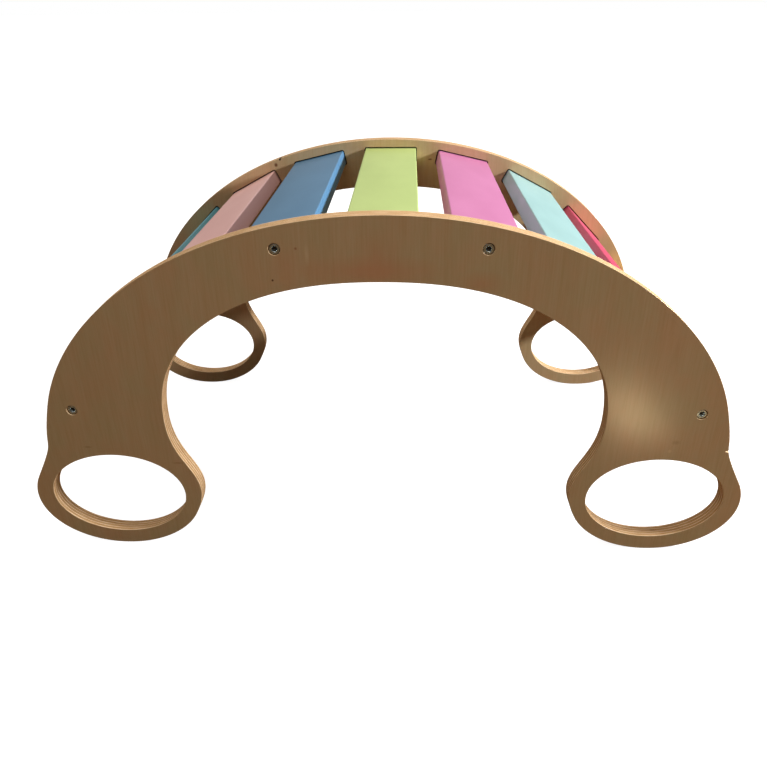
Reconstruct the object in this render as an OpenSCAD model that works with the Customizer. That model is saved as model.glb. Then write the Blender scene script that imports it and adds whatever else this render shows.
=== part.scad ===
// Rocker arch for children: two plywood side panels with oval hand rings, joined by nine
// painted slats. It stands on the four rings as a climbing arch, and turned over it rocks
// on the outer curve. +X runs along the arch, +Y across it, +Z up. The origin is on the
// floor, in the middle.

/* [Side panels] */
// Overall width over both panels
overall_w = 438; // [360:1:560]
// Thickness of the plywood
board_t = 18; // [17:0.5:24]
// Half the length of the outer curve at its widest level
arch_half = 370; // [360:1:400]
// Rise of the outer curve above its widest level
arch_rise = 260; // [245:1:300]
// Width of the panel at the crown
crown_w = 65; // [50:1:90]
// Width of the leg where the inner curve is widest
leg_w = 133; // [115:1:150]
// Height of the inner curve's widest level above the outer curve's
inner_lift = 38.5; // [25:0.5:50]
// Squareness of the inner curve, where 2 is an ellipse
inner_square = 2.25; // [2:0.05:2.6]

/* [Hand rings] */
// Half width of a ring
ring_half_w = 94; // [88:0.5:102]
// Half height of a ring
ring_half_h = 68; // [62:0.5:76]
// How far a ring reaches past the outer curve
ring_reach = 29.5; // [22:0.5:36]
// Depth of a ring's middle below the outer curve's widest level
ring_drop = 61.5; // [56:0.5:72]
// Wall of a ring at the arch's end
ring_outer_wall = 19.5; // [15:0.5:24]
// Wall of a ring at its side towards the arch's middle
ring_inner_wall = 16; // [14:0.5:22]
// Wall of a ring at its foot
ring_foot_wall = 18; // [14:0.5:22]
// Height of a hand hole
hole_h = 105; // [85:1:110]

/* [Slats] */
// Width of a slat
slat_w = 72; // [50:1:78]
// Thickness of a slat
slat_t = 18; // [15:0.5:22]
// Radius along a slat's edges
slat_round = 1.5; // [1:0.25:5]
// Distance from one slat's middle to the next, along their curve
slat_pitch = 104.7; // [92:0.1:107]
// Depth of the slats' faces below the outer curve at the crown
slat_inset_crown = 12; // [8:0.5:18]
// Depth of the slats' faces inside the outer curve at its widest
slat_inset_side = 11; // [8:0.5:18]
// Depth of the widest level of the slats' curve below the outer curve's
slat_curve_drop = 24; // [10:1:36]
// Depth of the pockets that hold the slats' ends
pocket_depth = 5; // [3:0.5:7]
// Clearance round a slat's end in its pocket
pocket_gap = 1; // [0.3:0.1:1.5]

/* [Bolts and inserts] */
// Diameter of the bolt's thread
bolt_d = 6; // [5:0.5:8]
// Length of the bolt under its head
bolt_len = 40; // [35:1:50]
// How far the bolt's head stands out round the thread
head_rim = 2; // [1.5:0.25:3]
// Height of the bolt's head
head_h = 6; // [4:0.5:6]
// Size of the hexagon key
key_w = 5; // [4:0.5:6]
// Depth of the hexagon socket
key_depth = 3; // [2:0.5:3.5]
// Depth of the head below the panel's face
head_recess = 1.5; // [0.5:0.25:2]
// Clearance all round the head in its counterbore
head_gap = 0.9; // [0.4:0.1:1.5]
// Clearance all round the bolt in the panel and in the slat
bolt_gap = 0.3; // [0.2:0.05:0.6]
// Wall of the threaded insert, from the bolt's thread to the tips of its ridges
insert_wall = 2; // [1.5:0.25:2.5]
// Length of the threaded insert
insert_len = 20; // [14:1:25]
// Height of the insert's ridges
ridge_h = 0.8; // [0.4:0.1:1]
// Distance between the insert's ridges
ridge_pitch = 2.5; // [1.5:0.5:4]
// Clearance all round the insert in the slat, and the thread in the insert
thread_fit = 0.05; // [0.02:0.01:0.1]

/* [Hidden] */

front_y = -overall_w / 2;               // the front panel's outer face
slat_len = overall_w - 2 * (board_t - pocket_depth);
arch_z = ring_drop + ring_half_h;       // the outer curve's widest level above the floor

// Where the blends leave one curve and meet the next, as angles round each curve
notch_start = 12;
notch_end = 22;
notch_fullness = 0.7;
flare_start = -159;
flare_fullness = 0.5;
outer_step = 2;
inner_step = 2.5;
ring_step = 5;
blend_steps = 12;

inner_half = arch_half - leg_w;
inner_rise = arch_rise - crown_w - inner_lift;
ring_x = arch_half + ring_reach - ring_half_w;
ring_middle = [ring_x, -ring_drop];
hole_half_w = ring_half_w - (ring_outer_wall + ring_inner_wall) / 2;
hole_x = ring_x + (ring_inner_wall - ring_outer_wall) / 2;
hole_middle_z = -ring_drop - ring_half_h + ring_foot_wall + hole_h / 2;

slat_count = 9;
middle_slat = 5;
bolted_slats = [1, 4, 6, 9];
slat_curve_half = arch_half - slat_inset_side;
slat_curve_rise = arch_rise - slat_inset_crown + slat_curve_drop;
walk_step = 2;                          // millimetres at a time along the slats' curve
slat_colours = [
    "#b79ac8", "#3f8f96", "#c99393", "#6b86a0", "#bfdc8c", "#dd7db5", "#a5dcc8", "#dc5560", "#ecca62"
];

head_d = bolt_d + 2 * head_rim;
insert_d = bolt_d + 2 * insert_wall;
cut_past = 1;                           // how far a cutter runs past the face that it opens
round_fn = 48;
small_fn = 32;

// A point of an ellipse, and the direction along it towards smaller angles
function on_ellipse(angle, half_w, half_h) = [half_w * cos(angle), half_h * sin(angle)];
function along_ellipse(angle, half_w, half_h) =
    let (v = [half_w * sin(angle), -half_h * cos(angle)]) v / norm(v);

// The points between two ends of a smooth blend that leaves and arrives along given directions
function blend(start, start_dir, end, end_dir, fullness) =
    let (
        handle = fullness * norm(end - start),
        first = start + handle * start_dir,
        second = end - handle * end_dir
    )
    [for (i = [1 : blend_steps - 1])
        let (t = i / blend_steps, u = 1 - t)
        u * u * u * start + 3 * u * u * t * first + 3 * u * t * t * second + t * t * t * end];

// Evenly spaced angles from one to another, both kept
function angles(from, to, step) =
    let (count = ceil(abs(to - from) / step))
    [for (i = [0 : count]) from + (to - from) * i / count];

outer_end = on_ellipse(notch_start, arch_half, arch_rise);
ring_start = ring_middle + on_ellipse(notch_end, ring_half_w, ring_half_h);
ring_end = ring_middle + on_ellipse(flare_start, ring_half_w, ring_half_h);
inner_start = [inner_half, inner_lift];

// Half the panel's outline, from the crown down the outer curve, round the ring and back up
// the inner curve to the crown
half_outline = concat(
    [for (a = angles(90, notch_start, outer_step)) on_ellipse(a, arch_half, arch_rise)],
    blend(
        outer_end, along_ellipse(notch_start, arch_half, arch_rise),
        ring_start, along_ellipse(notch_end, ring_half_w, ring_half_h), notch_fullness
    ),
    [for (a = angles(notch_end, flare_start, ring_step))
        ring_middle + on_ellipse(a, ring_half_w, ring_half_h)],
    blend(
        ring_end, along_ellipse(flare_start, ring_half_w, ring_half_h),
        inner_start, [0, 1], flare_fullness
    ),
    [for (a = angles(0, 90, inner_step))
        [
            inner_half * pow(abs(cos(a)), 2 / inner_square),
            inner_lift + inner_rise * pow(sin(a), 2 / inner_square)
        ]]
);
outline_last = len(half_outline) - 1;

// The middle of a slat's outer face on the slats' curve, found by walking down from the crown
function on_slat_curve(angle) =
    [slat_curve_half * cos(angle), slat_curve_rise * sin(angle) - slat_curve_drop];
function curve_mm_per_degree(angle) =
    norm([slat_curve_half * sin(angle), slat_curve_rise * cos(angle)]) * PI / 180;
function walk_down(angle, distance) =
    distance <= 0
        ? angle
        : let (step = min(distance, walk_step))
          walk_down(angle - step / curve_mm_per_degree(angle), distance - step);
function slat_angle(number) = walk_down(90, abs(number - middle_slat) * slat_pitch);

// Stands a flat drawing of X and Z up, so that its extrusion runs along +Y from the front panel
module upright() {
    translate([0, front_y, arch_z]) rotate([90, 0, 0]) mirror([0, 0, 1]) children();
}

// Puts a drawing whose +Y is the outward direction at the middle of a slat's outer face
module at_slat(number) {
    angle = slat_angle(number);
    side = sign(number - middle_slat);
    place = on_slat_curve(angle);
    tangent = along_ellipse(angle, slat_curve_half, slat_curve_rise);
    tilt = atan2(tangent[1], tangent[0]);
    if (side < 0) {
        mirror([1, 0]) translate(place) rotate(tilt) children();
    } else {
        translate(place) rotate(tilt) children();
    }
}

// A slat's section, its outer face along the X axis, grown by a clearance
module slat_section(clearance = 0) {
    radius = slat_round + clearance;
    half_w = slat_w / 2 + clearance;
    low = -slat_t - clearance;
    high = clearance;
    difference() {
        translate([-half_w, low]) square([2 * half_w, high - low]);
        for (x = [-1, 1], z = [[low, 1], [high, -1]]) {
            translate([x * (half_w - radius), z[0] + z[1] * radius]) difference() {
                translate([x > 0 ? 0 : -radius - cut_past, z[1] > 0 ? -radius - cut_past : 0])
                    square(radius + cut_past);
                circle(radius, $fn = small_fn);
            }
        }
    }
}

module panel_outline() {
    difference() {
        polygon(concat(
            half_outline,
            [for (i = [outline_last - 1 : -1 : 1]) [-half_outline[i][0], half_outline[i][1]]]
        ));
        for (side = [-1, 1]) {
            translate([side * hole_x, hole_middle_z])
                scale([hole_half_w, hole_h / 2]) circle(1, $fn = round_fn);
        }
    }
}

// A round piece along a bolt's axis, from one depth behind the front face to another
module at_bolts(from, to, diameter) {
    for (number = bolted_slats) {
        upright() at_slat(number) translate([0, -slat_t / 2, from])
            cylinder(h = to - from, d = diameter, $fn = small_fn);
    }
}

// The side panel at the front, with a pocket for each slat and a stepped hole for each bolt
module side_panel() {
    difference() {
        upright() linear_extrude(board_t) panel_outline();
        for (number = [1 : slat_count]) {
            upright() at_slat(number) translate([0, 0, board_t - pocket_depth])
                linear_extrude(pocket_depth + cut_past) slat_section(pocket_gap);
        }
        at_bolts(-cut_past, head_recess + head_h, head_d + 2 * head_gap);
        at_bolts(head_recess, board_t, bolt_d + 2 * bolt_gap);
    }
}

module slat(number) {
    bolted = len(search(number, bolted_slats)) > 0;
    end = board_t - pocket_depth;
    color(slat_colours[number - 1]) difference() {
        upright() at_slat(number) translate([0, 0, end]) linear_extrude(slat_len) slat_section();
        if (bolted) {
            for (turn = [0, 1]) mirror([0, turn, 0]) {
                upright() at_slat(number) translate([0, -slat_t / 2, end]) {
                    translate([0, 0, -cut_past]) cylinder(
                        h = insert_len + cut_past, d = insert_d + 2 * thread_fit, $fn = small_fn);
                    cylinder(
                        h = head_recess + head_h + bolt_len - end + cut_past,
                        d = bolt_d + 2 * bolt_gap, $fn = small_fn);
                }
            }
        }
    }
}

// A socket head bolt with its head at the origin's side of Z and its thread along +Z
module bolt() {
    tip = bolt_d / 8;
    crown = head_d / 20;
    difference() {
        rotate_extrude($fn = round_fn) polygon([
            [0, 0],
            [head_d / 2 - crown, 0],
            [head_d / 2, crown],
            [head_d / 2, head_h],
            [bolt_d / 2 - thread_fit, head_h],
            [bolt_d / 2 - thread_fit, head_h + bolt_len - tip],
            [bolt_d / 2 - thread_fit - tip, head_h + bolt_len],
            [0, head_h + bolt_len]
        ]);
        translate([0, 0, -cut_past])
            cylinder(h = key_depth + cut_past, d = key_w / cos(30), $fn = 6);
    }
}

// A threaded insert: a sleeve whose outer thread is drawn as ridges
module insert() {
    count = round(insert_len / ridge_pitch);
    spacing = insert_len / count;
    tip_r = insert_d / 2;
    root_r = tip_r - ridge_h;
    // Along one ridge, as a share of the spacing, and the radius there
    ridge = [[0.25, root_r], [0.45, tip_r], [0.55, tip_r], [0.75, root_r]];
    rotate_extrude($fn = round_fn) polygon(concat(
        [[bolt_d / 2, 0], [root_r, 0]],
        [for (i = [0 : count - 1], p = ridge) [p[1], (i + p[0]) * spacing]],
        [[root_r, insert_len], [bolt_d / 2, insert_len]]
    ));
}

module bolts() {
    color("#8d8f92") for (number = bolted_slats) {
        upright() at_slat(number) translate([0, -slat_t / 2, head_recess]) bolt();
    }
}

module inserts() {
    color("#c9a95c") for (number = bolted_slats) {
        upright() at_slat(number) translate([0, -slat_t / 2, board_t - pocket_depth]) insert();
    }
}

module front_panel() { color("#c8a47c") side_panel(); }
module rear_panel() { color("#c8a47c") mirror([0, 1, 0]) side_panel(); }
module front_bolts() { bolts(); }
module rear_bolts() { mirror([0, 1, 0]) bolts(); }
module front_inserts() { inserts(); }
module rear_inserts() { mirror([0, 1, 0]) inserts(); }

front_panel();
rear_panel();
slat(1);  // slat_1
slat(2);  // slat_2
slat(3);  // slat_3
slat(4);  // slat_4
slat(5);  // slat_5
slat(6);  // slat_6
slat(7);  // slat_7
slat(8);  // slat_8
slat(9);  // slat_9
front_bolts();
rear_bolts();
front_inserts();
rear_inserts();
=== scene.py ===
import math

import bmesh
import bpy
from mathutils import Matrix, Vector
from mathutils.geometry import tessellate_polygon


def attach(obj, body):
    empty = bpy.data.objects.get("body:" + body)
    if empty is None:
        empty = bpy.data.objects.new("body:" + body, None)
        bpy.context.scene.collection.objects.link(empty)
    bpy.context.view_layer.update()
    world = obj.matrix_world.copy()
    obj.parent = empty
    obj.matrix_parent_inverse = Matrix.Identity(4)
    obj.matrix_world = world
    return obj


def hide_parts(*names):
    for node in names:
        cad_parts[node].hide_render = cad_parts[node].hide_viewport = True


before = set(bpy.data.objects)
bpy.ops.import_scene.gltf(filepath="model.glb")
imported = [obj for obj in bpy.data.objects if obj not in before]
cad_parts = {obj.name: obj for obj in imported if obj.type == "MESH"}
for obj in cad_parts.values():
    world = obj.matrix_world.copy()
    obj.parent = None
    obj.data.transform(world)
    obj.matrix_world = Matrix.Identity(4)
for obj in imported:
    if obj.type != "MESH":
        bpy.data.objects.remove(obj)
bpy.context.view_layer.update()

MM = 0.001

# Sizes in millimetres, the same as in the part's source
overall_w = 438
board_t = 18

arch_half = 370
arch_rise = 260
crown_w = 65
leg_w = 133
inner_lift = 38.5
inner_square = 2.25

ring_half_w = 94
ring_half_h = 68
ring_reach = 29.5
ring_drop = 61.5
ring_outer_wall = 19.5
ring_inner_wall = 16
ring_foot_wall = 18
hole_h = 105

slat_w = 72
slat_t = 18
slat_round = 1.5
slat_pitch = 104.7
slat_inset_crown = 12
slat_inset_side = 11
slat_curve_drop = 24
pocket_depth = 5
pocket_gap = 1

bolt_d = 6
bolt_len = 40
head_rim = 2
head_h = 6
key_w = 5
key_depth = 3
head_recess = 1.5
head_gap = 0.9
bolt_gap = 0.3
insert_wall = 2
insert_len = 20
thread_fit = 0.05
bore_room = 1                   # how far the bore in a slat runs on past its bolt

# Where the blends leave one curve and meet the next, in degrees round each curve
notch_start = 12
notch_end = 22
notch_fullness = 0.7
flare_start = -159
flare_fullness = 0.5

# Small forms that only the dressed part has, in millimetres
arris_r = 0.5                   # the sanded rounding along every edge of the panels
arris_guard = 0.6               # a loop this far past it keeps the rest of the edge flat in shade
# The chamfer round each pocket's mouth takes the pockets' near-black painted shade too, which
# widens the dark line
mouth_ease = 0.6                # the chamfer round each pocket's mouth
bore_rim = 0.25                 # the rim of each counterbore
end_ease = 0.4                  # the eased ends of the slats
head_round = 0.5                # the rounding round the top of a bolt's head
head_chamfer = 0.2              # and the chamfer round its underside
socket_rim = 0.3                # the chamfer round the mouth of its socket
socket_rim_h = 0.45
socket_cone_h = 0.5             # the cone that the drill left in the socket's floor
chip_z = 6                      # a splinter has left the front panel's right edge at this height
chip_w = 2.4
chip_depth = 4

# How finely curves are cut
outer_step = 0.75               # in degrees, like the next four
ring_step = 2.5
inner_step = 1
hole_step = 3
arris_step = 15
walk_step = 2                   # in millimetres, like the next
slat_step = 12
notch_steps = 24                # numbers of steps from here on
flare_steps = 30
corner_steps = 8
circle_steps = 48

# The outlines, and chip_z, are measured up from the outer curve's widest level. This is its
# height above the floor.
arch_z = ring_drop + ring_half_h

inner_half = arch_half - leg_w
inner_rise = arch_rise - crown_w - inner_lift
ring_x = arch_half + ring_reach - ring_half_w
hole_half_w = ring_half_w - (ring_outer_wall + ring_inner_wall) / 2
hole_x = ring_x + (ring_inner_wall - ring_outer_wall) / 2
hole_z = -ring_drop - ring_half_h + ring_foot_wall + hole_h / 2

slat_numbers = range(1, 10)
middle_slat = 5
bolted_slats = (1, 4, 6, 9)
slat_curve_half = arch_half - slat_inset_side
slat_curve_rise = arch_rise - slat_inset_crown + slat_curve_drop
pocket_floor = board_t - pocket_depth
slat_half_len = overall_w / 2 - pocket_floor

head_r = bolt_d / 2 + head_rim
shank_r = bolt_d / 2 - thread_fit
shank_tip = bolt_d / 8              # the cone at a bolt's end
head_bore_r = head_r + head_gap
shank_bore_r = bolt_d / 2 + bolt_gap
insert_bore_r = bolt_d / 2 + insert_wall + thread_fit
head_seat = head_recess + head_h    # the depth of a counterbore

front_y = -overall_w / 2            # the front panel's outer face
rear_y = overall_w / 2 - board_t    # the rear panel's inner face
sides = (("front", True), ("rear", False))


# ---------------------------------------------------------------- outlines, in X and Z

def on_ellipse(angle, half_w, half_h):
    turn = math.radians(angle)
    return Vector((half_w * math.cos(turn), half_h * math.sin(turn)))


def along_ellipse(angle, half_w, half_h):
    """The direction along an ellipse towards smaller angles."""
    turn = math.radians(angle)
    return Vector((half_w * math.sin(turn), -half_h * math.cos(turn))).normalized()


def blend(start, start_dir, end, end_dir, fullness, steps):
    """The points between two ends of a smooth blend that leaves and arrives along directions."""
    handle = fullness * (end - start).length
    first = start + handle * start_dir
    second = end - handle * end_dir
    points = []
    for i in range(1, steps):
        t = i / steps
        u = 1 - t
        points.append(
            u ** 3 * start + 3 * u * u * t * first + 3 * u * t * t * second + t ** 3 * end
        )
    return points


def span(first, last, step):
    """Evenly spaced values from one to another, both kept."""
    count = math.ceil(abs(last - first) / step)
    return [first + (last - first) * i / count for i in range(count + 1)]


def panel_outline():
    """The panel's outline from the crown down the right leg, round its ring and back up to the
    crown inside, then the same down and up the left leg."""
    ring = Vector((ring_x, -ring_drop))
    outer = [on_ellipse(a, arch_half, arch_rise) for a in span(90, notch_start, outer_step)]
    rim = [
        ring + on_ellipse(a, ring_half_w, ring_half_h)
        for a in span(notch_end, flare_start, ring_step)
    ]
    inner = []
    for a in span(0, 90, inner_step):
        across = abs(math.cos(math.radians(a))) ** (2 / inner_square)
        up = math.sin(math.radians(a)) ** (2 / inner_square)
        inner.append(Vector((inner_half * across, inner_lift + inner_rise * up)))
    notch = blend(
        outer[-1], along_ellipse(notch_start, arch_half, arch_rise),
        rim[0], along_ellipse(notch_end, ring_half_w, ring_half_h),
        notch_fullness, notch_steps,
    )
    flare = blend(
        rim[-1], along_ellipse(flare_start, ring_half_w, ring_half_h),
        inner[0], Vector((0, 1)),
        flare_fullness, flare_steps,
    )
    right = outer + notch + rim + flare + inner
    left = [Vector((-p.x, p.y)) for p in reversed(right[1:-1])]
    return right + left


def chipped(points):
    """The panel's outline with a small sharp notch where a splinter has left its right edge."""
    nearest = min(range(len(points)), key=lambda i: abs(points[i].y - chip_z) - points[i].x)
    place = points[nearest]
    down = (points[nearest + 1] - points[nearest - 1]).normalized()
    inward = Vector((down.y, -down.x))
    notch = [
        place - chip_w / 2 * down,
        place + chip_depth * inward,
        place + chip_w / 2 * down,
    ]
    return points[:nearest] + notch + points[nearest + 1:]


def circle(centre, radius):
    return [
        centre + on_ellipse(360 * i / circle_steps, radius, radius) for i in range(circle_steps)
    ]


def hexagon(centre, width):
    """A hexagon as a loop of as many points as a circle, a corner at every sixth part."""
    points = []
    for i in range(circle_steps):
        turn = 360 * i / circle_steps
        reach = width / 2 / math.cos(math.radians(turn % 60 - 30))
        points.append(centre + on_ellipse(turn, reach, reach))
    return points


def hand_hole(side):
    centre = Vector((side * hole_x, hole_z))
    return [centre + on_ellipse(a, hole_half_w, hole_h / 2) for a in range(0, 360, hole_step)]


def offset(points, distance):
    """A closed loop moved sideways: outwards if the distance is positive."""
    count = len(points)
    area = sum(
        points[i - 1].x * points[i].y - points[i].x * points[i - 1].y for i in range(count)
    )
    turn = 1 if area > 0 else -1
    moved = []
    for i, point in enumerate(points):
        run = points[(i + 1) % count] - points[i - 1]
        moved.append(point + turn * distance * Vector((run.y, -run.x)).normalized())
    return moved


def slat_place(number):
    """The middle of a slat's outer face, and the directions along and out of that face. It is
    found by walking along the slats' curve from the crown."""
    angle = 90.0
    left = abs(number - middle_slat) * slat_pitch
    while left > 0:
        step = min(left, walk_step)
        turn = math.radians(angle)
        speed = math.hypot(slat_curve_half * math.sin(turn), slat_curve_rise * math.cos(turn))
        angle -= math.degrees(step / speed)
        left -= step
    place = on_ellipse(angle, slat_curve_half, slat_curve_rise) - Vector((0, slat_curve_drop))
    along = along_ellipse(angle, slat_curve_half, slat_curve_rise)
    if number <= middle_slat:
        place.x = -place.x
        along.y = -along.y
    return place, along, Vector((-along.y, along.x))


def slat_section(number, clearance=0.0):
    """A slat's rounded section where it lies in the arch, grown by a clearance."""
    place, along, out = slat_place(number)
    radius = slat_round + clearance
    points = []
    for quarter, (x, z) in enumerate(((1, 1), (-1, 1), (-1, -1), (1, -1))):
        middle_x = x * (slat_w / 2 - slat_round)
        middle_z = -slat_round if z > 0 else slat_round - slat_t
        for step in range(corner_steps + 1):
            turn = math.radians(90 * quarter + 90 * step / corner_steps)
            points.append(
                place
                + (middle_x + radius * math.cos(turn)) * along
                + (middle_z + radius * math.sin(turn)) * out
            )
    return points


def bolt_centre(number):
    place, _, out = slat_place(number)
    return place - slat_t / 2 * out


# ---------------------------------------------------------------- meshes from loops

def mesh_object(name, mesh, *materials):
    data = bpy.data.meshes.new(name)
    mesh.to_mesh(data)
    mesh.free()
    for material in materials:
        data.materials.append(material)
    made = bpy.data.objects.new(name, data)
    bpy.context.scene.collection.objects.link(made)
    return made


class Loops:
    """Builds one closed mesh from loops of X and Z points, each at its own depth along Y."""

    def __init__(self, y_of):
        self.mesh = bmesh.new()
        self.y_of = y_of

    def loop(self, points, depth):
        y = self.y_of(depth)
        return [self.mesh.verts.new((p.x * MM, y * MM, (p.y + arch_z) * MM)) for p in points]

    def turned(self, centre, steps):
        """Circles round a centre, each with a radius and a depth."""
        return [self.loop(circle(centre, radius), depth) for radius, depth in steps]

    def wall(self, first, second, finish=0):
        """Joins two loops of as many points with a smooth band."""
        for i in range(len(first)):
            face = self.mesh.faces.new((first[i - 1], first[i], second[i], second[i - 1]))
            face.smooth = True
            face.material_index = finish

    def walls(self, loops, finish=0):
        for first, second in zip(loops, loops[1:]):
            self.wall(first, second, finish)

    def cap(self, loops, finish=0):
        """Fills the flat face inside the first loop and outside the others."""
        flat = [vert for loop in loops for vert in loop]
        for corners in tessellate_polygon([[vert.co.xzy for vert in loop] for loop in loops]):
            face = self.mesh.faces.new([flat[i] for i in corners])
            face.material_index = finish

    def build(self, name, *materials):
        bmesh.ops.recalc_face_normals(self.mesh, faces=self.mesh.faces)
        piece = mesh_object(name, self.mesh, *materials)
        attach(piece, "root")
        return piece


def panel_loops(front):
    """Loops whose depths run inwards from the front or rear panel's outer face."""
    inward = 1 if front else -1
    return Loops(lambda depth: inward * (depth - overall_w / 2))


# The third finish, in the pockets and on their mouths' chamfers, is near-black painted shade
FACE, EDGE, POCKET_SHADE = 0, 1, 2    # a panel's three finishes
# A bolt's second finish, on its socket's floor and cone, is near-black painted shade
SOCKET_SHADE = 1                      # a bolt's second finish


def rounded_edge(shell, points, into):
    """An edge right through the board, rounded at both faces. The face veneer goes down to half
    the depth of each rounding. Returns the edge's two outermost loops."""
    half_way_down = 60              # in degrees, because the cosine of 60 degrees is a half
    levels = []
    for turn in span(0, 90, arris_step):
        inset = arris_r * (1 - math.sin(math.radians(turn)))
        depth = arris_r * (1 - math.cos(math.radians(turn)))
        levels.append((inset, depth))
    levels.append((0, arris_r + arris_guard))
    levels += [(inset, board_t - depth) for inset, depth in reversed(levels)]
    loops = [shell.loop(offset(points, into * inset), depth) for inset, depth in levels]
    veneered = half_way_down // arris_step
    shell.walls(loops[:veneered + 1], FACE)
    shell.walls(loops[veneered:-veneered], EDGE)
    shell.walls(loops[-veneered - 1:], FACE)
    return loops[0], loops[-1]


def side_panel(front):
    """A side panel: rounded edges, pockets for the slats inside and stepped bolt holes outside."""
    shell = panel_loops(front)
    outside, inside = [], []
    outline = chipped(panel_outline()) if front else panel_outline()
    for points, into in ((outline, -1), (hand_hole(-1), 1), (hand_hole(1), 1)):
        near, far = rounded_edge(shell, points, into)
        outside.append(near)
        inside.append(far)
    for number in slat_numbers:
        pocket = slat_section(number, pocket_gap)
        mouth = shell.loop(slat_section(number, pocket_gap + mouth_ease), board_t)
        throat = shell.loop(pocket, board_t - mouth_ease)
        floor_loops = [shell.loop(pocket, pocket_floor)]
        # The mouth's chamfer, the pocket's walls and its floor are near-black painted shade
        shell.walls([mouth, throat, floor_loops[0]], POCKET_SHADE)
        inside.append(mouth)
        if number in bolted_slats:
            bore = shell.turned(bolt_centre(number), [
                (head_bore_r + bore_rim, 0), (head_bore_r, bore_rim), (head_bore_r, head_seat),
                (shank_bore_r, head_seat), (shank_bore_r, pocket_floor),
            ])
            shell.wall(bore[0], bore[1], FACE)
            shell.walls(bore[1:], EDGE)
            outside.append(bore[0])
            floor_loops.append(bore[-1])
        shell.cap(floor_loops, POCKET_SHADE)
    shell.cap(outside, FACE)
    shell.cap(inside, FACE)
    return shell


def slat(number):
    """A slat from one pocket's floor to the other's, bored at both ends where bolts hold it."""
    shell = Loops(lambda y: y)
    section = slat_section(number)
    straight = slat_half_len - end_ease
    stations = [(0, y) for y in span(-straight, straight, slat_step)]
    stations = [(end_ease, -slat_half_len)] + stations + [(end_ease, slat_half_len)]
    loops = [shell.loop(offset(section, -inset), y) for inset, y in stations]
    shell.walls(loops)
    bore_end = head_seat + bolt_len - pocket_floor + bore_room
    steps = [
        (insert_bore_r, 0), (insert_bore_r, insert_len),
        (shank_bore_r, insert_len), (shank_bore_r, bore_end),
    ]
    for end, loop in ((-1, loops[0]), (1, loops[-1])):
        end_loops = [loop]
        if number in bolted_slats:
            bore = shell.turned(bolt_centre(number), [
                (radius, end * (slat_half_len - depth)) for radius, depth in steps
            ])
            shell.walls(bore)
            shell.cap([bore[-1]])
            end_loops.append(bore[0])
        shell.cap(end_loops)
    return shell


def bolts(front):
    """Socket head bolts: a rounded head with a hexagon socket, and a plain shank with a tip."""
    shell = panel_loops(front)
    rounding = ((1, 0), (0.5, 0.14), (0.14, 0.5), (0, 1))   # shares of a quarter circle's radius
    steps = [(head_r - head_round * inset, head_round * depth) for inset, depth in rounding]
    steps += [
        (head_r, head_h - head_chamfer), (head_r - head_chamfer, head_h),
        (shank_r, head_h), (shank_r, head_h + bolt_len - shank_tip),
        (shank_r - shank_tip, head_h + bolt_len),
    ]
    for number in bolted_slats:
        centre = bolt_centre(number)
        body = shell.turned(centre, [(radius, head_recess + depth) for radius, depth in steps])
        shell.walls(body)
        shell.cap([body[-1]])
        socket_floor = head_recess + key_depth
        socket = [
            shell.loop(circle(centre, key_w / math.sqrt(3) + socket_rim), head_recess),
            shell.loop(hexagon(centre, key_w), head_recess + socket_rim_h),
            shell.loop(hexagon(centre, key_w), socket_floor),
            shell.loop(circle(centre, key_w / 4), socket_floor + socket_cone_h),
        ]
        shell.walls(socket[:3])
        # The socket's floor and its cone are near-black painted shade
        shell.wall(socket[2], socket[3], SOCKET_SHADE)
        shell.cap([socket[-1]], SOCKET_SHADE)
        shell.cap([body[0], socket[0]])
    return shell


# ---------------------------------------------------------------- materials

def linear(hex_colour):
    """An sRGB hex colour as Blender's linear one, opaque."""
    channels = [int(hex_colour[i:i + 2], 16) / 255 for i in (1, 3, 5)]
    return [c / 12.92 if c <= 0.04045 else ((c + 0.055) / 1.055) ** 2.4 for c in channels] + [1.0]


def add(tree, kind, inputs=None, **settings):
    """Adds a node, sets its properties, and sets or links its inputs."""
    made = tree.nodes.new(kind)
    for name, value in settings.items():
        setattr(made, name, value)
    for name, value in (inputs or {}).items():
        if isinstance(value, bpy.types.NodeSocket):
            tree.links.new(value, made.inputs[name])
        else:
            made.inputs[name].default_value = value
    return made


def new_material(name):
    material = bpy.data.materials.new(name)
    material.use_nodes = True
    tree = material.node_tree
    tree.nodes.clear()
    return material, tree


def object_place(tree):
    """The object's own coordinates, which lie in the shared frame."""
    return add(tree, "ShaderNodeTexCoord").outputs["Object"]


def principled(tree, inputs):
    """Ends a material with one shader."""
    shader = add(tree, "ShaderNodeBsdfPrincipled", inputs)
    add(tree, "ShaderNodeOutputMaterial", {"Surface": shader.outputs[0]})


def stretched(tree, size_mm, source):
    """Coordinates in which one unit is the given size along each axis."""
    return add(
        tree, "ShaderNodeVectorMath",
        {0: source, 1: [1 / (size * MM) for size in size_mm]}, operation="MULTIPLY",
    ).outputs[0]


def noise(tree, at, size_mm, **inputs):
    """Noise whose blotches have about the given size along each axis."""
    return add(tree, "ShaderNodeTexNoise", {
        "Vector": stretched(tree, size_mm, at), "Scale": 1.0, **inputs,
    }).outputs["Fac"]


def ramp(tree, source, *stops):
    """A colour ramp along a value. Each stop is a place and an sRGB hex colour."""
    made = add(tree, "ShaderNodeValToRGB", {"Fac": source})
    points = made.color_ramp.elements
    while len(points) < len(stops):
        points.new(0.5)
    for point, (place, colour) in zip(points, stops):
        point.position = place
        point.color = linear(colour)
    return made.outputs[0]


def multiplied(tree, first, second):
    """Two colours multiplied."""
    return add(tree, "ShaderNodeMix", {
        0: 1.0, 6: first, 7: second,
    }, data_type="RGBA", blend_type="MULTIPLY").outputs[2]


def reckoned(tree, operation, *values):
    """The result of an operation on one to three values."""
    return add(tree, "ShaderNodeMath", dict(enumerate(values)), operation=operation).outputs[0]


def relief(tree, height, strength, depth_mm):
    """A normal for fine relief."""
    return add(tree, "ShaderNodeBump", {
        "Height": height, "Strength": strength, "Distance": depth_mm * MM,
    }).outputs[0]


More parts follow.
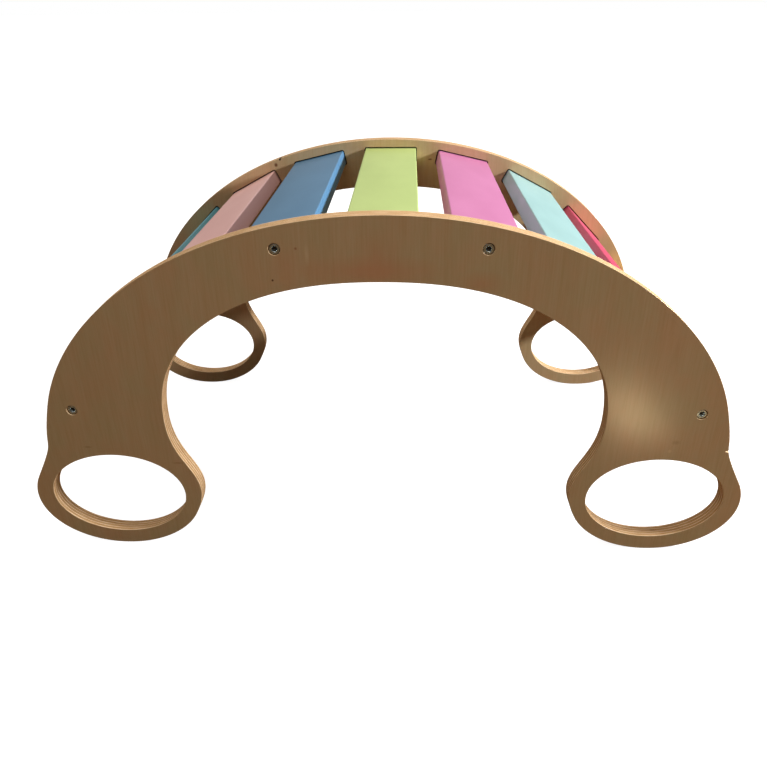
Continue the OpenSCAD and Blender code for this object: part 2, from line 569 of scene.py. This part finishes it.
def marked(tree, at, colour, marks):
    """Lays small marks over a colour. Each has a place and half sizes in millimetres, a softness,
    a strength and an sRGB hex colour."""
    for place, half_sizes, softness, strength, hex_colour in marks:
        away = add(tree, "ShaderNodeVectorMath", {
            0: at, 1: [c * MM for c in place],
        }, operation="SUBTRACT")
        distance = add(tree, "ShaderNodeVectorMath", {
            0: stretched(tree, half_sizes, away.outputs[0]),
        }, operation="LENGTH")
        share = add(tree, "ShaderNodeMapRange", {
            "Value": distance.outputs["Value"], "From Min": 1 - softness, "From Max": 1 + softness,
            "To Min": strength, "To Max": 0.0,
        })
        colour = add(tree, "ShaderNodeMix", {
            0: share.outputs[0], 6: colour, 7: linear(hex_colour),
        }, data_type="RGBA").outputs[2]
    return colour


def birch_veneer():
    """Birch face veneer under clear satin varnish: upright grain, faint reddish and olive clouds,
    a few small marks, and a soft sheen that the grain breaks up."""
    material, tree = new_material("varnished_birch_veneer")
    at = object_place(tree)
    clouds = noise(tree, at, (38, 38, 60), Detail=4.0, Roughness=0.6)
    figure = noise(tree, at, (14, 14, 220), Detail=4.0, Roughness=0.55, Distortion=0.6)
    grain = noise(tree, at, (1.6, 1.6, 45), Detail=3.0, Roughness=0.6)
    tint = ramp(tree, clouds, (0.36, "#ceb78e"), (0.52, "#d2b58d"), (0.7, "#d6b28a"))
    bands = ramp(tree, figure, (0.3, "#faf7f3"), (0.7, "#ffffff"))
    fine = ramp(tree, grain, (0.3, "#f8f5f1"), (0.6, "#ffffff"))
    wood = multiplied(tree, multiplied(tree, tint, bands), fine)
    colour = marked(tree, at, wood, [
        # Reddish clouds by a bolt and at the crown
        ((-90, front_y, 342), (10, 4, 14), 0.9, 0.35, "#d9a27c"),
        ((-63, front_y, 341), (8, 4, 12), 0.9, 0.28, "#d9a27c"),
        ((-9, front_y, 335), (44, 4, 11), 0.7, 0.6, "#d89a74"),
        ((-5, front_y, 353), (12, 4, 16), 0.9, 0.4, "#d89a74"),
        ((96, front_y, 323), (15, 4, 8), 0.8, 0.45, "#d89a74"),
        # A pale streak and two small knots by that bolt
        ((-71, front_y, 352), (1.5, 2, 7), 0.8, 0.5, "#e6cda4"),
        ((-81.3, front_y, 357.9), (1.2, 2, 1.2), 0.5, 0.5, "#9a4f2c"),
        ((-105.7, front_y, 326.4), (1, 2, 1), 0.4, 0.9, "#4a2c18"),
        # A pale fleck on the right leg and dark ones on both
        ((309.6, front_y, 134.1), (1.8, 2, 1.8), 0.5, 0.5, "#e9cd9b"),
        ((314.4, front_y, 145.2), (3.5, 2, 2.2), 0.6, 0.25, "#8a6a48"),
        ((-327.7, front_y, 133.5), (3.5, 2, 1), 0.6, 0.3, "#8a6438"),
        ((-229.9, front_y, 113.3), (5, 2, 1), 0.6, 0.3, "#8a6438"),
        # Two knots in the rear panel's inner face, and painted shade for the nick in its edge,
        # whose hollow has no shape here
        ((-167.1, rear_y, 354.8), (2.2, 2, 2.6), 0.4, 0.85, "#6a3a1e"),
        ((56.4, rear_y, 361.9), (2.5, 2, 1), 0.5, 0.8, "#6a4426"),
        ((-161, rear_y, 363.5), (1.6, 3, 2.5), 0.3, 1.0, "#2c140c"),
    ])
    principled(tree, {
        "Base Color": colour, "Roughness": 0.25, "Specular IOR Level": 0.5,
        "Normal": relief(tree, grain, 0.12, 0.4),
    })
    return material


def plywood_edge():
    """The routed and sanded edge of the plywood: pale long-grain plies, darker end-grain plies
    between them and thin glue lines, under the same varnish. Real board this thick has thirteen
    plies of 1.4 mm, too fine to show, so nine of 2 mm are drawn."""
    ply_t = board_t / 9
    waver = 0.5                     # how far the plies stray
    material, tree = new_material("varnished_plywood_edge")
    at = object_place(tree)
    along_y = add(tree, "ShaderNodeSeparateXYZ", {0: at}).outputs["Y"]
    from_middle = reckoned(tree, "ABSOLUTE", along_y)
    depth = reckoned(tree, "SUBTRACT", overall_w / 2 * MM, from_middle)
    stray = noise(tree, at, (60, 60, 60), Detail=2.0)
    wavy = reckoned(tree, "MULTIPLY_ADD", stray, waver * MM, depth)
    pair = reckoned(tree, "MULTIPLY", wavy, 1 / (2 * ply_t * MM))
    stripes = ramp(
        tree, reckoned(tree, "FRACT", pair),
        (0.0, "#744c2a"), (0.08, "#ffe3bd"), (0.43, "#ffe3bd"), (0.51, "#744c2a"),
        (0.61, "#e4ba87"), (0.9, "#e4ba87"), (1.0, "#744c2a"),
    )
    fibre = noise(tree, at, (16, 0.8, 16), Detail=3.0, Roughness=0.6)
    mottle = ramp(tree, fibre, (0.36, "#dcccb4"), (0.6, "#ffffff"))
    colour = marked(tree, at, multiplied(tree, stripes, mottle), [
        # Painted shade for the nick in the rear panel's edge, whose hollow has no shape here
        ((-160.5, rear_y + 3, 365), (1.6, 6, 8), 0.3, 1.0, "#2c140c"),  # the nick
    ])
    principled(tree, {
        "Base Color": colour, "Roughness": 0.6, "Specular IOR Level": 0.12,
        "Normal": relief(tree, fibre, 0.15, 0.3),
    })
    return material


def pocket_painted_shade():
    """The routed pockets, left bare and near black all over: painted shade that draws a dark line
    round each slat.
    """
    material, tree = new_material("routed_birch_painted_shade")
    at = object_place(tree)
    swirl = noise(tree, at, (4, 2, 4), Detail=3.0)
    principled(tree, {
        "Base Color": ramp(tree, swirl, (0.35, "#17100a"), (0.65, "#2a1d12")),
        "Roughness": 0.8, "Specular IOR Level": 0.2,
    })
    return material


def satin_paint(name, pale, deep):
    """Satin water-based paint sprayed on planed wood: even colour with a faint cloudiness, the
    long grain just telling through as a shallow ripple."""
    material, tree = new_material("satin_paint_" + name)
    at = object_place(tree)
    cloud = noise(tree, at, (40, 90, 40), Detail=3.0)
    ripple = noise(tree, at, (1.5, 30, 1.5), Detail=3.0, Roughness=0.6)
    principled(tree, {
        "Base Color": ramp(tree, cloud, (0.35, deep), (0.65, pale)),
        "Roughness": 0.4, "Normal": relief(tree, ripple, 0.1, 0.3),
    })
    return material


def plated_steel():
    """Zinc-plated steel, slightly dulled: a grey metal with soft reflections."""
    material, tree = new_material("zinc_plated_steel")
    at = object_place(tree)
    cloud = noise(tree, at, (1.5, 1.5, 1.5), Detail=3.0)
    principled(tree, {
        "Base Color": ramp(tree, cloud, (0.35, "#bcd0dd"), (0.65, "#cedfe9")),
        "Metallic": 1.0, "Roughness": 0.25,
    })
    return material


def socket_painted_shade():
    """The floor of a bolt's hexagon socket, near black: painted shade deep in the socket, with one
    small glint.
    """
    material, tree = new_material("socket_floor_painted_shade")
    principled(tree, {
        "Base Color": linear("#101214"), "Roughness": 0.25, "Specular IOR Level": 0.6,
    })
    return material


def turned_brass():
    """Turned brass, bright from the lathe, with fine rings."""
    material, tree = new_material("turned_brass")
    at = object_place(tree)
    rings = noise(tree, at, (20, 0.15, 20), Detail=2.0)
    principled(tree, {
        "Base Color": ramp(tree, rings, (0.35, "#b9964f"), (0.65, "#d2b06a")),
        "Metallic": 1.0, "Roughness": 0.3,
    })
    return material


def pale_floor():
    """A matt white floor. It throws back less light than it shows, as if the object stood on a
    darker floor, because a white one would fill in the shade on the panels from below."""
    material, tree = new_material("pale_matt_floor")
    white = add(tree, "ShaderNodeBsdfDiffuse", {"Color": linear("#aaaaaa")})
    glow = add(tree, "ShaderNodeEmission", {"Color": linear("#ffffff"), "Strength": 0.95})
    shown = add(tree, "ShaderNodeAddShader", {0: white.outputs[0], 1: glow.outputs[0]})
    bounced = add(tree, "ShaderNodeBsdfDiffuse", {"Color": linear("#72593d")})
    seen = add(tree, "ShaderNodeLightPath").outputs["Is Camera Ray"]
    shader = add(tree, "ShaderNodeMixShader", {0: seen, 1: bounced.outputs[0], 2: shown.outputs[0]})
    add(tree, "ShaderNodeOutputMaterial", {"Surface": shader.outputs[0]})
    return material


# ---------------------------------------------------------------- pieces

veneer = birch_veneer()
ply_edge = plywood_edge()
# Near-black painted shade for the pockets round the slats
pocket_shade = pocket_painted_shade()
steel = plated_steel()
# Near-black painted shade for the floors of the bolts' sockets
socket_shade = socket_painted_shade()
brass = turned_brass()

slat_paints = {                 # pale and deep tone of each slat's paint
    1: ("#b49ac4", "#ac91bc"),  # lilac
    2: ("#69b6cf", "#61aec7"),  # teal
    3: ("#ffd2d6", "#facbcf"),  # dusty pink
    4: ("#5a8fbc", "#5488b5"),  # slate
    5: ("#c2da89", "#bcd483"),  # lime
    6: ("#d080b3", "#ca79ac"),  # pink
    7: ("#9fc7c9", "#98c0c2"),  # mint
    8: ("#d44d71", "#cd466a"),  # red
    9: ("#d4b04e", "#cda847"),  # yellow
}

for side, front in sides:
    panel = side_panel(front).build(side + "_panel_dressed", veneer, ply_edge, pocket_shade)
    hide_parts(side + "_panel")

for number in slat_numbers:
    paint = satin_paint("slat_%d" % number, *slat_paints[number])
    bar = slat(number).build("slat_%d_painted" % number, paint)
    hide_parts("slat_%d" % number)

for side, front in sides:
    set_of_bolts = bolts(front).build(side + "_bolts_plated", steel, socket_shade)
    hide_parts(side + "_bolts")
    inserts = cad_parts[side + "_inserts"]
    inserts.data.materials.clear()
    inserts.data.materials.append(brass)


# ---------------------------------------------------------------- floor, lights and camera

floor_half = 40.0               # in metres, so that it fills the picture
floor_mesh = bmesh.new()
floor_mesh.faces.new([
    floor_mesh.verts.new((x * floor_half, y * floor_half, 0))
    for x, y in ((-1, -1), (1, -1), (1, 1), (-1, 1))
])
floor = mesh_object("floor", floor_mesh, pale_floor())


def light(name, kind, place, towards, power, colour="#ffffff", diffuse=True, **settings):
    """A light at a place, in metres, that shines along a direction and isn't itself seen. Without
    diffuse it shows only as a reflection."""
    data = bpy.data.lights.new(name, kind)
    data.energy = power
    data.color = linear(colour)[:3]
    for key, value in settings.items():
        setattr(data, key, value)
    lamp = bpy.data.objects.new(name, data)
    lamp.location = place
    lamp.rotation_mode = "QUATERNION"
    lamp.rotation_quaternion = Vector(towards).to_track_quat("-Z", "Y")
    lamp.visible_camera = False
    lamp.visible_diffuse = diffuse
    bpy.context.scene.collection.objects.link(lamp)


# A low wide window to the right, which shines along the panels
light(
    "window", "AREA", (2.4, -0.29, 1.2), (-1, 0.12, -0.36), 104,
    shape="RECTANGLE", size=0.5, size_y=0.2,
)
# Soft warm light from a pale ceiling
light(
    "ceiling", "SUN", (0, 0, 3), (0.38, -0.12, -1), 1.2, "#fff0dc",
    angle=math.radians(60),
)
# A small warm patch of bright floor in front, which the varnish of the right leg mirrors
light(
    "low_reflector", "AREA", (0.371, -0.546, 0.002), (0, 0, 1), 0.36, "#ffdfab",
    diffuse=False, shape="RECTANGLE", size=0.07, size_y=0.14,
)
# A lamp in front and above, which the rims of the bolts' sockets mirror
light(
    "glint", "AREA", (0.7, -1.5, 2.4), (-0.7, 1.28, -2.16), 15, "#ffe8cf",
    diffuse=False, shape="RECTANGLE", size=0.5, size_y=0.5,
)
# A weak fill over the crown of the front panel
light(
    "front_fill", "AREA", (-0.2, -0.75, 0.9), (0.05, 0.53, -0.55), 0.38,
    shape="RECTANGLE", size=0.4, size_y=0.4,
)

# The room round them is pale behind the arch and dim in front of it, and itself shows as white
world = bpy.data.worlds.new("room")
bpy.context.scene.world = world
world.use_nodes = True
room = world.node_tree
room.nodes.clear()
direction = add(room, "ShaderNodeTexCoord").outputs["Generated"]
apart = add(room, "ShaderNodeSeparateXYZ", {0: direction})
behind = add(room, "ShaderNodeMapRange", {
    0: apart.outputs["Y"], "From Min": 0.0, "From Max": 0.5, "To Min": 0.0, "To Max": 1.0,
})
dim_side = ramp(
    room, apart.outputs["Z"], (0.0, "#555453"), (0.5, "#555453"), (0.7, "#958c80"),
)
pale_side = ramp(
    room, apart.outputs["Z"],
    (0.08, "#595857"), (0.26, "#c3c3c3"), (0.42, "#c3c3c3"), (0.6, "#908779"),
)
walls = add(room, "ShaderNodeMix", {
    0: behind.outputs[0], 6: dim_side, 7: pale_side,
}, data_type="RGBA")
lit = add(room, "ShaderNodeBackground", {"Color": walls.outputs[2], "Strength": 1.0})
backdrop = add(room, "ShaderNodeBackground", {"Color": linear("#ffffff"), "Strength": 1.0})
seen = add(room, "ShaderNodeLightPath").outputs["Is Camera Ray"]
around = add(room, "ShaderNodeMixShader", {0: seen, 1: lit.outputs[0], 2: backdrop.outputs[0]})
add(room, "ShaderNodeOutputWorld", {"Surface": around.outputs[0]})

# The camera stands in front and above, looking down on the arch. Its lens and its middle are
# given in pixels of the square frame, its turns in radians and its place in millimetres.
sensor = 36
focal_px, frame_px = 732.71, 767
principal_x, principal_y = 383.37, 409.53
pitch, yaw, roll = 0.5101, 0.0365, -0.0111
eye = Vector((25.3, -897.2, 563.3))
camera_data = bpy.data.cameras.new("camera")
camera_data.sensor_width = sensor
camera_data.lens = focal_px / frame_px * sensor
camera_data.shift_x = (frame_px / 2 - principal_x) / frame_px
camera_data.shift_y = (principal_y - frame_px / 2) / frame_px
camera = bpy.data.objects.new("camera", camera_data)
facing = Matrix.Rotation(yaw, 3, "Z") @ Matrix.Rotation(math.pi / 2 - pitch, 3, "X")
camera.rotation_mode = "QUATERNION"
camera.rotation_quaternion = (facing @ Matrix.Rotation(roll, 3, "Z")).to_quaternion()
camera.location = eye * MM
bpy.context.scene.collection.objects.link(camera)
bpy.context.scene.camera = camera

bpy.context.scene.view_settings.view_transform = "Standard"
